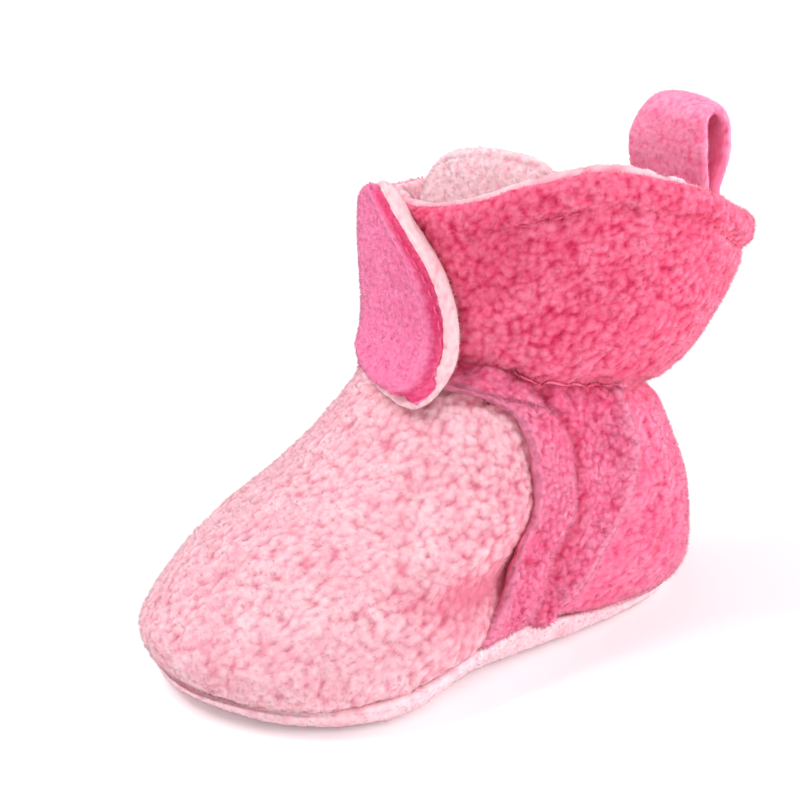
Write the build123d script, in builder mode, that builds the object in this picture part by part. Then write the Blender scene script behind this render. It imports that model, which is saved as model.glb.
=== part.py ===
"""Baby bootie for a left foot, in millimetres.

A soft fleece bootie: a flat sole with grip dots, a light upper over the toes, darker
quarters and heel panel, a tulip-shaped collar above an elastic ankle, a padded tongue,
a wrap-over closure tab with hook-and-loop patches, and a pull loop at the heel.

The toe points to -Y, the heel to +Y, +Z is up and +X is the outer side of the foot.
The bootie stands on its grip dots at z = 0.
"""
import os
from math import asin, cos, hypot, radians, sin

from build123d import *

os.makedirs("parts", exist_ok=True)

# ---------------------------------------------------------------- driving dimensions
SHELL = 2.4            # outer fleece
LINING = 2.4           # inner fleece
WALL = SHELL + LINING
DOT_HEIGHT = 0.8       # grip dots below the sole fabric
DOT_RADIUS = 3.6
DOT_PITCH = 10.0
SEAM_Z = 3.4           # where the upper is sewn to the sole
FOAM_TOP = 6.4
FOOTBED_TOP = 8.6
THREAD = 0.6           # width of a line of stitching
THREAD_PROUD = 0.2
HEM_DROP = 5.8         # the hem's stitching, below the rim
REACH = 60.0           # how far a cutting slab reaches, past every side of the bootie

ANKLE_Z = 48.5
ANKLE_TILT = 11.0
ANKLE_Y = 15.15
ELASTIC_WIDTH = 6.0
ELASTIC_THICKNESS = 1.0

TAB_GAP = 0.5          # air between the tab and the collar under it
TAB_LINING = 1.9
TAB_SHELL = 1.9
TAB_THICKNESS = TAB_LINING + TAB_SHELL
TAB_BINDING = 3.4      # the lining turned over the tab's free edge
TAB_STITCH_INSET = 1.6 # the tab's stitching, in from the binding
PATCH_DEPTH = 1.2
PATCH_WIDTH = 14.0
PATCH_HEIGHT = 18.0
PATCH_CORNER = 2.5
PATCH_CENTRE = (1.0, 68.0)   # seen from the front (x, z)
SLIT_X = -13.0         # the collar's two ends meet here, under the tab
SLIT_WIDTH = 1.0
SLIT_REACH = 15.0      # the slit is cut from the front back to this y
SLIT_FOOT = 40.0       # and from this height up
FRONT_HALF = 8.5       # what is cut from the front reaches back to this y

TONGUE_SKIN = 1.3
# Half of the tongue seen from the front (x, z), from the foot of the tongue to its top.
TONGUE_SIDE = [(7, 50.5), (8, 60), (13, 70), (17.3, 80), (14, 88.3), (0, 92)]
# The tongue seen from the side (y, z): its front face, then its back face, base to top.
TONGUE_FRONT = [(-3.8, 50.5), (-1.8, 60), (0.7, 70), (4.1, 80), (7.1, 93)]
TONGUE_BACK = [(-1, 50.5), (3.7, 60), (7.9, 70), (10.7, 80), (9.9, 93)]
TONGUE_SEAM = [(-2.4, 50.5), (0.9, 60), (4.3, 70), (7.4, 80), (8.5, 93)]

LOOP_WIDTH = 19.5
LOOP_TAPE = 2.2
LOOP_HOLE = 5.0
LOOP_BASE_RADIUS = 3.0
LOOP_LEAN = 8.0
LOOP_PIVOT = (0.0, 60.5, 77.7)
LOOP_SHOULDER = 6.5    # height of the widest point above the pivot
LOOP_TOP = 10.9        # height of the top arc's centre above the pivot

# Each level of the form is a belt laid round a front circle and a back circle:
# height, tilt (front up), front centre y, front radius, back centre y, back radius.
FOOT_LEVELS = [
    (0.0, 0.0, -33.5, 26.5, 28.0, 18.0),
    (3.5, 0.0, -34.0, 30.5, 28.0, 22.0),
    (9.5, 0.0, -34.3, 32.5, 27.5, 25.2),
    (16.5, 1.2, -30.9, 31.0, 26.7, 26.0),
    (23.0, 3.0, -23.9, 29.0, 26.5, 26.0),
    (30.0, 5.5, -10.5, 26.3, 25.0, 25.9),
    (36.5, 8.0, -1.1, 24.7, 23.0, 25.3),
    (42.5, 9.5, 6.0, 24.0, 20.8, 24.8),
    (ANKLE_Z, ANKLE_TILT, 11.5, 23.8, 18.8, 24.2),
]
# The collar is drawn in at the front, so that the tab lies flush over it.
COLLAR_LEVELS = [
    (ANKLE_Z, ANKLE_TILT, 11.5, 23.8, 18.8, 24.2),
    (54.5, 11.0, 16.0, 26.0, 22.5, 27.5),
    (61.5, 10.0, 19.6, 28.7, 26.0, 31.0),
    (70.5, 9.0, 22.1, 30.9, 29.5, 33.4),
    (80.5, 8.0, 24.1, 32.2, 30.8, 34.8),
    (98.0, 8.0, 24.8, 31.8, 31.0, 34.2),
]
# The rim seen from the side (y, z): the outer side stands higher than the inner side.
RIM_OUTER = [
    (-33.5, 72), (-8.1, 84.5), (-1.5, 89.5), (10.5, 92.5), (26.5, 88.5), (46.5, 79.3), (56.5, 74.8),
    (66.5, 73), (86.5, 73),
]
RIM_INNER = [
    (-33.5, 84), (-8.1, 82.5), (6.5, 79.5), (26.5, 76.5), (46.5, 74.6), (56.5, 73.6), (66.5, 73),
    (86.5, 73),
]
RIM_FOOT = 20.0        # what is kept under the rim starts at this height
# Seams of the lower part seen from the side (y, z), from the ankle down to the sole.
QUARTER_EDGE = [(-8.5, 62), (-1.8, 45), (-2.8, 30), (-8.5, 19.6), (-15, 0)]
HEEL_SEAM = [(25.5, 62), (22.5, 42), (21, 30), (13.5, 18), (-1.5, 0)]
# Free edge of the closure tab seen from the front (x, z), from its top corner down.
TAB_EDGE = [(-6.4, 86.5), (6, 79.9), (12.4, 68.5), (12.6, 60), (9.5, 54)]
TAB_ROOT_LOW = (-19.6, -2.9, 56.0)
TAB_ROOT_HIGH = (-24.0, 0.8, 82.0)
TAB_ROOT_FACING = (0.744, -0.632, 0.216)
TAB_CORNER_Z = 78.0    # the tab's edge above this height is its top corner
TAB_TOP_FALL = 4.0     # the top edge falls this much towards the tab's root


# ---------------------------------------------------------------- shared geometry
def front_stretch(levels, index):
    """How much a sheet on the sloping front must be thickened to keep its true thickness."""
    low, high = max(index - 1, 0), min(index + 1, len(levels) - 1)
    rise = levels[high][0] - levels[low][0]
    retreat = (levels[high][2] - levels[high][3]) - (levels[low][2] - levels[low][3])
    return hypot(rise, retreat) / rise


def belt(y1, r1, y2, r2):
    """The edges of a belt laid round two circles on the sketch's y axis."""
    lean = asin((r1 - r2) / (y2 - y1))
    x1, x2 = r1 * cos(lean), r2 * cos(lean)
    t1, t2 = y1 + r1 * sin(lean), y2 + r2 * sin(lean)
    with BuildLine() as path:
        ThreePointArc((-x1, t1), (0, y1 - r1), (x1, t1))
        Line((x1, t1), (x2, t2))
        ThreePointArc((x2, t2), (0, y2 + r2), (-x2, t2))
        Line((-x2, t2), (-x1, t1))
    return path.edges()


def form(levels, inset):
    """The bootie's form, drawn in by inset on every side, as one loft."""
    with BuildPart() as body:
        for index, (height, tilt, front_y, front_r, back_y, back_r) in enumerate(levels):
            middle = (front_y + back_y) / 2
            slope = radians(tilt)
            extra = inset * (front_stretch(levels, index) - 1)
            plane = Plane((0, middle, height), x_dir=(1, 0, 0), z_dir=(0, sin(slope), cos(slope)))
            with BuildSketch(plane):
                make_face(
                    belt(front_y - middle + extra, front_r - inset, back_y - middle, back_r - inset)
                )
        loft()
    return body.part


def below_rim(drop=0.0):
    """Everything under the rim line, lowered by drop."""
    with BuildPart() as under:
        for line, depth in ((RIM_OUTER, REACH), (RIM_INNER, -REACH)):
            points = [(y, z - drop) for y, z in line]
            with BuildSketch(Plane.YZ):
                with BuildLine():
                    Spline(*points)
                    Polyline(
                        points[-1], (points[-1][0], RIM_FOOT), (points[0][0], RIM_FOOT), points[0],
                    )
                make_face()
            extrude(amount=depth)
    return under.part


def side_region(edge, limit_y):
    """A slab across the bootie between a seam seen from the side and the plane y = limit_y."""
    with BuildPart() as region:
        with BuildSketch(Plane.YZ):
            with BuildLine():
                Spline(*edge)
                Polyline(edge[-1], (limit_y, edge[-1][1]), (limit_y, edge[0][1]), edge[0])
            make_face()
        extrude(amount=REACH, both=True)
    return region.part


def tab_region(border=0.0):
    """The tab's outline seen from the front, drawn in by border at its free edges."""
    edge = [(x - border, z - border * (0.7 if z > TAB_CORNER_Z else 0)) for x, z in TAB_EDGE]
    top_left = (-REACH, edge[0][1] - TAB_TOP_FALL)
    low_left = (-REACH, edge[-1][1] + border * 0.8)
    low_right = (edge[-1][0], low_left[1])
    with BuildPart() as region:
        with BuildSketch(Plane.XZ.offset(-FRONT_HALF)):
            with BuildLine():
                Spline(edge[0], *edge[1:-1], low_right)
                Polyline(low_right, low_left, top_left, edge[0])
            make_face()
        extrude(amount=REACH)
    return region.part


def patch_region():
    """The outline of the hook and loop patches seen from the front."""
    with BuildPart() as region:
        with BuildSketch(Plane.XZ.offset(-FRONT_HALF)):
            with Locations(PATCH_CENTRE):
                RectangleRounded(PATCH_WIDTH, PATCH_HEIGHT, PATCH_CORNER)
        extrude(amount=REACH)
    return region.part


def tongue_slab(front, back):
    """A sheet across the bootie between two lines seen from the side."""
    with BuildPart() as slab:
        with BuildSketch(Plane.YZ):
            with BuildLine():
                Spline(*front)
                Line(front[-1], back[-1])
                Spline(*back)
                Line(front[0], back[0])
            make_face()
        extrude(amount=REACH, both=True)
    return slab.part


def tongue_outline(border=0.0):
    """The tongue's outline seen from the front, drawn in by border."""
    (foot_x, foot_z), *sides, (top_x, top_z) = TONGUE_SIDE
    right = [(foot_x - border, foot_z + border)] + [(x - border, z) for x, z in sides]
    left = [(-x, z) for x, z in reversed(right)]
    with BuildPart() as region:
        with BuildSketch(Plane.XZ):
            with BuildLine():
                Spline(*right, (top_x, top_z - border), *left)
                Line(left[-1], right[0])
            make_face()
        extrude(amount=REACH, both=True)
    return region.part


ankle_plane = Plane(
    (0, ANKLE_Y, ANKLE_Z),
    x_dir=(1, 0, 0),
    z_dir=(0, sin(radians(ANKLE_TILT)), cos(radians(ANKLE_TILT))),
)
root_axis = Vector(*TAB_ROOT_HIGH) - Vector(*TAB_ROOT_LOW)
tab_root_plane = Plane(TAB_ROOT_LOW, x_dir=root_axis, z_dir=TAB_ROOT_FACING)
elastic_out = SHELL - ELASTIC_THICKNESS / 2
elastic_in = SHELL + ELASTIC_THICKNESS / 2
tab_back = -TAB_GAP
tab_pocket = tab_back - PATCH_DEPTH
tab_joint = tab_back - TAB_LINING
tab_face = tab_back - TAB_THICKNESS
foot = {inset: form(FOOT_LEVELS, inset) for inset in (-THREAD_PROUD, 0, THREAD, SHELL, WALL)}
collar = {
    inset: form(COLLAR_LEVELS, inset)
    for inset in (
        tab_face - THREAD_PROUD, tab_face, tab_face + THREAD, tab_joint, tab_pocket, tab_back,
        -THREAD_PROUD, 0, THREAD, PATCH_DEPTH, elastic_out, SHELL, elastic_in, WALL,
    )
}
under_rim = below_rim()
vamp_side = side_region(QUARTER_EDGE, -1.5 * REACH)
heel_side = side_region(HEEL_SEAM, 1.5 * REACH)


# ---------------------------------------------------------------- sole
with BuildPart() as sole_seam_stitching:
    add(foot[-THREAD_PROUD])
    add(foot[THREAD], mode=Mode.SUBTRACT)
    split(bisect_by=Plane.XY.offset(SEAM_Z - THREAD / 2), keep=Keep.TOP)
    split(bisect_by=Plane.XY.offset(SEAM_Z + THREAD / 2), keep=Keep.BOTTOM)

with BuildPart() as outsole:
    add(foot[0])
    split(bisect_by=Plane.XY.offset(DOT_HEIGHT), keep=Keep.TOP)
    split(bisect_by=Plane.XY.offset(SEAM_Z), keep=Keep.BOTTOM)
    add(sole_seam_stitching.part, mode=Mode.SUBTRACT)

with BuildPart() as insole_foam:
    add(foot[WALL])
    split(bisect_by=Plane.XY.offset(SEAM_Z), keep=Keep.TOP)
    split(bisect_by=Plane.XY.offset(FOAM_TOP), keep=Keep.BOTTOM)

with BuildPart() as footbed_lining:
    add(foot[WALL])
    split(bisect_by=Plane.XY.offset(FOAM_TOP), keep=Keep.TOP)
    split(bisect_by=Plane.XY.offset(FOOTBED_TOP), keep=Keep.BOTTOM)


def grip_dots(columns):
    """Low round dots under the sole, in columns given as (y, number of dots, shift)."""
    places = [
        (shift + DOT_PITCH * (place - (count - 1) / 2), y, DOT_HEIGHT)
        for y, count, shift in columns
        for place in range(count)
    ]
    with BuildPart() as dots:
        with Locations(*places):
            Cylinder(DOT_RADIUS, DOT_HEIGHT, align=(Align.CENTER, Align.CENTER, Align.MAX))
        fillet(dots.edges().group_by(Axis.Z)[0], DOT_HEIGHT * 0.6)
    return dots


forefoot_grip_dots = grip_dots([(-51.5, 3, 0.5), (-42.1, 4, 0), (-32.7, 4, -1), (-23.1, 3, -1)])
heel_grip_dots = grip_dots([(4.5, 2, 0), (13.9, 3, 0), (23.3, 3, 0), (32.7, 2, 0)])

# ---------------------------------------------------------------- lower upper
with BuildPart() as upper_shell:
    add(foot[0])
    add(foot[SHELL], mode=Mode.SUBTRACT)
    split(bisect_by=Plane.XY.offset(SEAM_Z), keep=Keep.TOP)
    add(sole_seam_stitching.part, mode=Mode.SUBTRACT)

with BuildPart() as upper_lining:
    add(foot[SHELL])
    add(foot[WALL], mode=Mode.SUBTRACT)
    split(bisect_by=Plane.XY.offset(SEAM_Z), keep=Keep.TOP)

with BuildPart() as vamp_shell:
    add(upper_shell.part)
    add(vamp_side, mode=Mode.INTERSECT)

with BuildPart() as vamp_lining:
    add(upper_lining.part)
    add(vamp_side, mode=Mode.INTERSECT)

with BuildPart() as quarter_lining:
    add(upper_lining.part)
    add(vamp_side, mode=Mode.SUBTRACT)

with BuildPart() as heel_panel:
    add(upper_shell.part)
    add(heel_side, mode=Mode.INTERSECT)


def quarter(keep):
    """One side quarter, between the vamp and the heel panel."""
    with BuildPart() as panel:
        add(upper_shell.part)
        add(vamp_side, mode=Mode.SUBTRACT)
        add(heel_side, mode=Mode.SUBTRACT)
        split(bisect_by=Plane.YZ, keep=keep)
    return panel


lateral_quarter = quarter(Keep.TOP)
medial_quarter = quarter(Keep.BOTTOM)

# ---------------------------------------------------------------- collar
with BuildPart() as ankle_elastic:
    add(collar[elastic_out])
    add(collar[elastic_in], mode=Mode.SUBTRACT)
    split(bisect_by=ankle_plane.offset(THREAD), keep=Keep.TOP)
    split(bisect_by=ankle_plane.offset(THREAD + ELASTIC_WIDTH), keep=Keep.BOTTOM)
    split(bisect_by=Plane.XZ, keep=Keep.BOTTOM)

with BuildPart() as rim_stitching:
    add(collar[-THREAD_PROUD])
    add(collar[THREAD], mode=Mode.SUBTRACT)
    add(below_rim(HEM_DROP), mode=Mode.INTERSECT)
    add(below_rim(HEM_DROP + THREAD), mode=Mode.SUBTRACT)
    add(patch_region(), mode=Mode.SUBTRACT)

with BuildPart() as collar_slit:
    with BuildSketch(Plane.XY.offset(SLIT_FOOT)):
        with Locations((SLIT_X, 0)):
            Rectangle(SLIT_WIDTH, 2 * SLIT_REACH)
    extrude(amount=REACH)

with BuildPart() as loop_patch:
    add(collar[0])
    add(collar[PATCH_DEPTH], mode=Mode.SUBTRACT)
    add(patch_region(), mode=Mode.INTERSECT)

with BuildPart() as cuff_shell:
    add(collar[0])
    add(collar[SHELL], mode=Mode.SUBTRACT)
    add(under_rim, mode=Mode.INTERSECT)
    for piece in (ankle_elastic, rim_stitching, collar_slit, loop_patch):
        add(piece.part, mode=Mode.SUBTRACT)

with BuildPart() as cuff_lining:
    add(collar[SHELL])
    add(collar[WALL], mode=Mode.SUBTRACT)
    add(under_rim, mode=Mode.INTERSECT)
    for piece in (ankle_elastic, collar_slit):
        add(piece.part, mode=Mode.SUBTRACT)


# ---------------------------------------------------------------- closure tab
def tab_layer(outer, inner, border):
    """The part of a layer of the tab that lies beyond its root and inside its edge."""
    with BuildPart() as layer:
        add(collar[outer])
        add(collar[inner], mode=Mode.SUBTRACT)
        add(tab_region(border), mode=Mode.INTERSECT)
        split(bisect_by=tab_root_plane, keep=Keep.TOP)
    return layer.part


with BuildPart() as tab_stitching:
    add(tab_layer(tab_face - THREAD_PROUD, tab_face + THREAD, TAB_BINDING + TAB_STITCH_INSET))
    add(tab_region(TAB_BINDING + TAB_STITCH_INSET + THREAD), mode=Mode.SUBTRACT)

with BuildPart() as hook_patch:
    add(collar[tab_pocket])
    add(collar[tab_back], mode=Mode.SUBTRACT)
    add(patch_region(), mode=Mode.INTERSECT)

with BuildPart() as closure_tab_shell:
    add(tab_layer(tab_face, tab_joint, TAB_BINDING))
    add(tab_stitching.part, mode=Mode.SUBTRACT)

with BuildPart() as closure_tab_lining:
    add(tab_layer(tab_face, tab_back, 0))
    add(tab_layer(tab_face, tab_joint, TAB_BINDING), mode=Mode.SUBTRACT)
    add(hook_patch.part, mode=Mode.SUBTRACT)

# ---------------------------------------------------------------- tongue
with BuildPart() as tongue_padding:
    add(tongue_slab(
        [(y + TONGUE_SKIN, z) for y, z in TONGUE_FRONT],
        [(y - TONGUE_SKIN, z) for y, z in TONGUE_BACK],
    ))
    add(tongue_outline(TONGUE_SKIN), mode=Mode.INTERSECT)

with BuildPart() as tongue_shell:
    add(tongue_slab(TONGUE_FRONT, TONGUE_SEAM))
    add(tongue_outline(), mode=Mode.INTERSECT)
    add(tongue_padding.part, mode=Mode.SUBTRACT)

with BuildPart() as tongue_lining:
    add(tongue_slab(TONGUE_SEAM, TONGUE_BACK))
    add(tongue_outline(), mode=Mode.INTERSECT)
    add(tongue_padding.part, mode=Mode.SUBTRACT)

# ---------------------------------------------------------------- heel loop
loop_slope = radians(LOOP_LEAN)
loop_plane = Plane(LOOP_PIVOT, x_dir=(0, cos(loop_slope), -sin(loop_slope)), z_dir=(1, 0, 0))
with BuildPart() as heel_loop:
    with BuildSketch(loop_plane):
        outer = LOOP_HOLE / 2 + LOOP_TAPE
        make_face(belt(0, LOOP_BASE_RADIUS, LOOP_SHOULDER, outer))
        make_face(belt(LOOP_SHOULDER, outer, LOOP_TOP, outer))
        make_face(belt(LOOP_SHOULDER, LOOP_HOLE / 2, LOOP_TOP, LOOP_HOLE / 2), mode=Mode.SUBTRACT)
    extrude(amount=LOOP_WIDTH / 2, both=True)

# ---------------------------------------------------------------- files
PIECES = {
    "outsole": outsole,
    "forefoot_grip_dots": forefoot_grip_dots,
    "heel_grip_dots": heel_grip_dots,
    "insole_foam": insole_foam,
    "footbed_lining": footbed_lining,
    "sole_seam_stitching": sole_seam_stitching,
    "vamp_shell": vamp_shell,
    "vamp_lining": vamp_lining,
    "lateral_quarter": lateral_quarter,
    "medial_quarter": medial_quarter,
    "heel_panel": heel_panel,
    "quarter_lining": quarter_lining,
    "ankle_elastic": ankle_elastic,
    "cuff_shell": cuff_shell,
    "cuff_lining": cuff_lining,
    "rim_stitching": rim_stitching,
    "loop_patch": loop_patch,
    "closure_tab_shell": closure_tab_shell,
    "closure_tab_lining": closure_tab_lining,
    "hook_patch": hook_patch,
    "tab_stitching": tab_stitching,
    "tongue_shell": tongue_shell,
    "tongue_padding": tongue_padding,
    "tongue_lining": tongue_lining,
    "heel_loop": heel_loop,
}
for name, piece in PIECES.items():
    piece.part.label = name
    export_step(piece.part, f"parts/{name}.step")
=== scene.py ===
"""Looks of the fleece baby bootie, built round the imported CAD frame.

Lengths are in millimetres until a mesh is made, and in metres after that. The toe points
to -Y, the heel to +Y, and +X is the outer side of the left foot. A place on the bootie's
skin is given by u, the fraction of the way round it (0 at the front, 0.25 at the outer
side, 0.5 at the back), and by h, the height of its level.
"""
from itertools import product
from math import cos, pi, radians, sin

import bpy
import numpy as np
from mathutils import Matrix, Vector


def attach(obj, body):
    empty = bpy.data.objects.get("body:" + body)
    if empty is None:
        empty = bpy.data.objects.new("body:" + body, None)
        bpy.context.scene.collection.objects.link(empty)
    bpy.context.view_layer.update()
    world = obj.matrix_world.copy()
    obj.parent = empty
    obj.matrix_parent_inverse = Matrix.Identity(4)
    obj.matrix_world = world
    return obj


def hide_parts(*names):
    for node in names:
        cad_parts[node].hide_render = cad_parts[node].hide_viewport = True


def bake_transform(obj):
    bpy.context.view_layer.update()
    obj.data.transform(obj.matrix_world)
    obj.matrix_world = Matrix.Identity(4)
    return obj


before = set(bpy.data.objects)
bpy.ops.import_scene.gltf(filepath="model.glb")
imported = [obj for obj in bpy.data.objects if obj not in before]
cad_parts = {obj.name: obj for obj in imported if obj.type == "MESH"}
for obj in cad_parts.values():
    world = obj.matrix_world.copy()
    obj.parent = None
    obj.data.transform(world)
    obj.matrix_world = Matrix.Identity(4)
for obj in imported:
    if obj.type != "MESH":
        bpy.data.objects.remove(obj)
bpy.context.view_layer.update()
MM = 0.001

# ---- sizes
SHELL = 2.4
LINING = 2.4
WALL = SHELL + LINING
INNER_FLEECE = 1.6
SOLE_BOTTOM = 0.8
FOAM = (3.6, 6.2)
FOOTBED_TOP = 8.6
TAB_LINING = 1.9
TAB_SHELL = 1.9
TAB_BINDING = 1.8
# Levels of the skin: height, tilt (front up), front centre y, front radius, back centre y, back radius.
LEVELS = [
    (0.0, 0.0, -33.5, 26.5, 28.0, 18.0),
    (3.5, 0.0, -34.0, 30.5, 28.0, 22.0),
    (9.5, 0.0, -34.3, 32.5, 27.5, 25.2),
    (16.5, 1.2, -30.9, 31.0, 26.7, 26.0),
    (23.0, 3.0, -23.9, 29.0, 26.5, 26.0),
    (30.0, 5.5, -10.5, 26.3, 25.0, 25.9),
    (36.5, 8.0, -1.1, 24.7, 23.0, 25.3),
    (42.5, 9.5, 6.0, 24.0, 20.8, 24.8),
    (48.5, 11.0, 11.5, 23.8, 18.8, 24.2),
    (54.5, 11.0, 16.0, 26.0, 22.5, 27.5),
    (61.5, 10.0, 19.6, 28.7, 26.0, 31.0),
    (70.5, 9.0, 22.1, 30.9, 29.5, 33.4),
    (80.5, 8.0, 24.1, 32.2, 30.8, 34.8),
    (98.0, 8.0, 24.8, 31.8, 31.0, 34.2),
]
# Lines seen from the side (y, z).
RIM_OUTER = [
    (-33.5, 72), (-8.1, 84.5), (-1.5, 89.5), (10.5, 92.5), (26.5, 88.5), (46.5, 79.3), (56.5, 74.8),
    (66.5, 73),
]
RIM_INNER = [(-33.5, 84), (-8.1, 82.5), (6.5, 79.5), (26.5, 76.5), (46.5, 74.6), (56.5, 73.6), (66.5, 73)]
# Lines on the outer side of the skin, as (u, h). The inner side mirrors them.
QUARTER_EDGE = [
    (0.206, 2), (0.211, 12.6), (0.218, 17), (0.219, 21.5), (0.214, 26), (0.200, 30.5), (0.176, 37),
    (0.157, 41.8), (0.137, 44.9), (0.112, 46.3), (0.085, 46.9), (0.05, 47.3), (0, 47.7),
]
HEEL_SEAM = [
    (0.268, 2), (0.274, 9), (0.280, 11), (0.292, 15), (0.302, 19.8), (0.308, 25), (0.304, 32),
    (0.303, 36), (0.296, 40), (0.286, 44), (0.284, 52),
]
SIDE_FOLD = [(0.258, 9), (0.263, 17), (0.262, 26), (0.241, 33), (0.221, 40.2), (0.198, 43.8), (0.161, 48.8)]
# The tab's edges as (u, h): the free edge upwards, then the low and top edges towards it.
TAB_EDGE = [
    (0.042, 42.6), (0.053, 43.9), (0.061, 46.6), (0.064, 50), (0.057, 56.4), (0.049, 61.6), (0.036, 67.8),
    (0.017, 72.8), (0.003, 76.0), (-0.012, 79.2), (-0.026, 81.8),
]
TAB_START_U = -0.158
TAB_LOW = [
    (TAB_START_U, 49.8), (-0.11, 49.6), (-0.065, 47.4), (-0.034, 45.2), (-0.011, 43.9), (0.012, 43.2),
    (0.028, 42.6), (0.042, 42.6),
]
TAB_TOP = [
    (TAB_START_U, 77.2), (-0.11, 77.2), (-0.08, 78.3), (-0.060, 80.6), (-0.045, 82.0), (-0.026, 81.8),
]
SLIT_U = -0.064
SEAM_LEVELS = [
    (0, 3.4), (0.05, 4.1), (0.104, 5.0), (0.153, 6.6), (0.19, 8.6), (0.215, 10.0), (0.24, 9.8), (0.278, 8.2),
    (0.302, 6.6), (0.352, 4.6), (0.42, 3.6), (0.5, 3.2),
]
CREASE_LEVELS = [
    (0, 51.0), (0.092, 51.6), (0.118, 51.0), (0.146, 49.8), (0.2, 49.4), (0.28, 49.0), (0.38, 48.2),
    (0.5, 48.2),
]
# Millimetres for each unit of u, round the lower part and round the collar.
ROUND = 200.0
AROUND = 205.0
TOE_SPRING = 1.6
WAIST = 2.8


# ---- curves and noise
def hermite(t, start, leaving, end, arriving):
    """A cubic from start to end, with its slopes there, for t from 0 to 1."""
    return (
        (1 + 2 * t) * (1 - t) ** 2 * start + t * (1 - t) ** 2 * leaving
        + t ** 2 * (3 - 2 * t) * end + t ** 2 * (t - 1) * arriving
    )


def through(x, knots, values):
    """A smooth line without overshoot through the values at the knots."""
    step, slope = np.diff(knots), np.diff(values) / np.diff(knots)
    grade = np.zeros_like(values)
    rising = slope[:-1] * slope[1:] > 0
    before, after = np.where(rising, slope[:-1], 1), np.where(rising, slope[1:], 1)
    a, b = 2 * step[1:] + step[:-1], step[1:] + 2 * step[:-1]
    grade[1:-1] = np.where(rising, (a + b) / (a / before + b / after), 0)
    grade[0], grade[-1] = slope[0], slope[-1]
    x = np.clip(x, knots[0], knots[-1])
    k = np.clip(np.searchsorted(knots, x, side="right") - 1, 0, len(knots) - 2)
    t = (x - knots[k]) / step[k]
    return hermite(t, values[k], step[k] * grade[k], values[k + 1], step[k] * grade[k + 1])


def unit(vectors):
    """The vectors, each with a length of 1."""
    return vectors / np.maximum(np.linalg.norm(vectors, axis=-1, keepdims=True), 1e-9)


def way_along(points, axis=0):
    """Length from the start to each point of a path, or of each line of a grid along one axis."""
    gaps = np.linalg.norm(np.diff(points, axis=axis), axis=-1)
    start = np.zeros_like(np.take(gaps, [0], axis=axis))
    return np.concatenate([start, np.cumsum(gaps, axis=axis)], axis=axis)


def line(points, samples=120):
    """Points along a smooth line through a few given points."""
    points = np.asarray(points, float)
    along = way_along(points)
    t = np.linspace(0, along[-1], samples)
    return np.stack([through(t, along, column) for column in points.T], axis=1)


def at(table, x):
    """The value at x of a smooth line through the (x, value) pairs of a table."""
    return through(x, *np.array(table).T)


def points_at(path, along, where):
    """Points of a path at given lengths along it."""
    return np.stack([np.interp(where, along, column) for column in path.T], axis=1)


def bell(distance, width):
    """1 at distance 0, falling smoothly to nothing within a few widths."""
    return np.exp(-(distance / width) ** 2)


def ease(x, low, high):
    """0 below low, 1 above high, smooth between."""
    t = np.clip((x - low) / (high - low), 0, 1)
    return t * t * (3 - 2 * t)


# Large primes and the steps of a well-known integer hash.
CELL_PRIMES = (73856093, 19349663, 83492791)
MIXING = ((16, 0x7FEB352D), (15, 0x846CA68B))


def scatter(cells, seed):
    """Three even random numbers for each whole-numbered cell."""
    c = cells.astype(np.int64).astype(np.uint32) * np.array(CELL_PRIMES, np.uint32)
    key = c[..., 0] ^ c[..., 1] ^ c[..., 2]
    found = []
    for turn in range(3):
        mix = key + np.uint32((seed * 7919 + turn * 104729 + 12345) & 0xFFFFFFFF)
        for shift, factor in MIXING:
            mix = (mix ^ (mix >> np.uint32(shift))) * np.uint32(factor)
        mix ^= mix >> np.uint32(16)
        found.append(mix.astype(np.float64) / 2 ** 32)
    return np.stack(found, axis=-1)


def drift(points, size, seed):
    """Smooth noise, three numbers from -1 to 1 at each point, with features of about size."""
    q = points / size
    cell = np.floor(q)
    t = q - cell
    t = t * t * (3 - 2 * t)
    total = np.zeros_like(q)
    for corner in product((0, 1), repeat=3):
        share = np.prod(np.where(corner, t, 1 - t), axis=-1, keepdims=True)
        total += share * scatter(cell + np.array(corner), seed)
    return total * 2 - 1


def tufts(points, size, seed):
    """Height from 0 to 1 of rounded tufts of pile, about size apart."""
    q = (points + drift(points, size * 2.1, seed + 1) * size * 0.45) / size
    cell = np.floor(q)
    nearest = np.full(q.shape[:-1], 9.0)
    for corner in product((-1, 0, 1), repeat=3):
        spot = cell + np.array(corner)
        distance = np.sum((spot + scatter(spot, seed) - q) ** 2, axis=-1)
        nearest = np.minimum(nearest, distance)
    return np.clip(1 - nearest / 0.95, 0, 1)


# ---- the bootie's skin
TABLE = np.array(LEVELS)


def level(h):
    """Tilt, front centre, front radius, back centre and back radius at a height."""
    tilt, y1, r1, y2, r2 = (through(h, TABLE[:, 0], TABLE[:, k]) for k in range(1, 6))
    return np.radians(tilt), y1, r1, y2, r2


def signed(u):
    """u from -0.5 to 0.5, with 0 at the front."""
    return (u + 0.5) % 1 - 0.5


def spring(y):
    """How far the toe's end springs up."""
    return TOE_SPRING * ease(-y, 54, 68)


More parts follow.
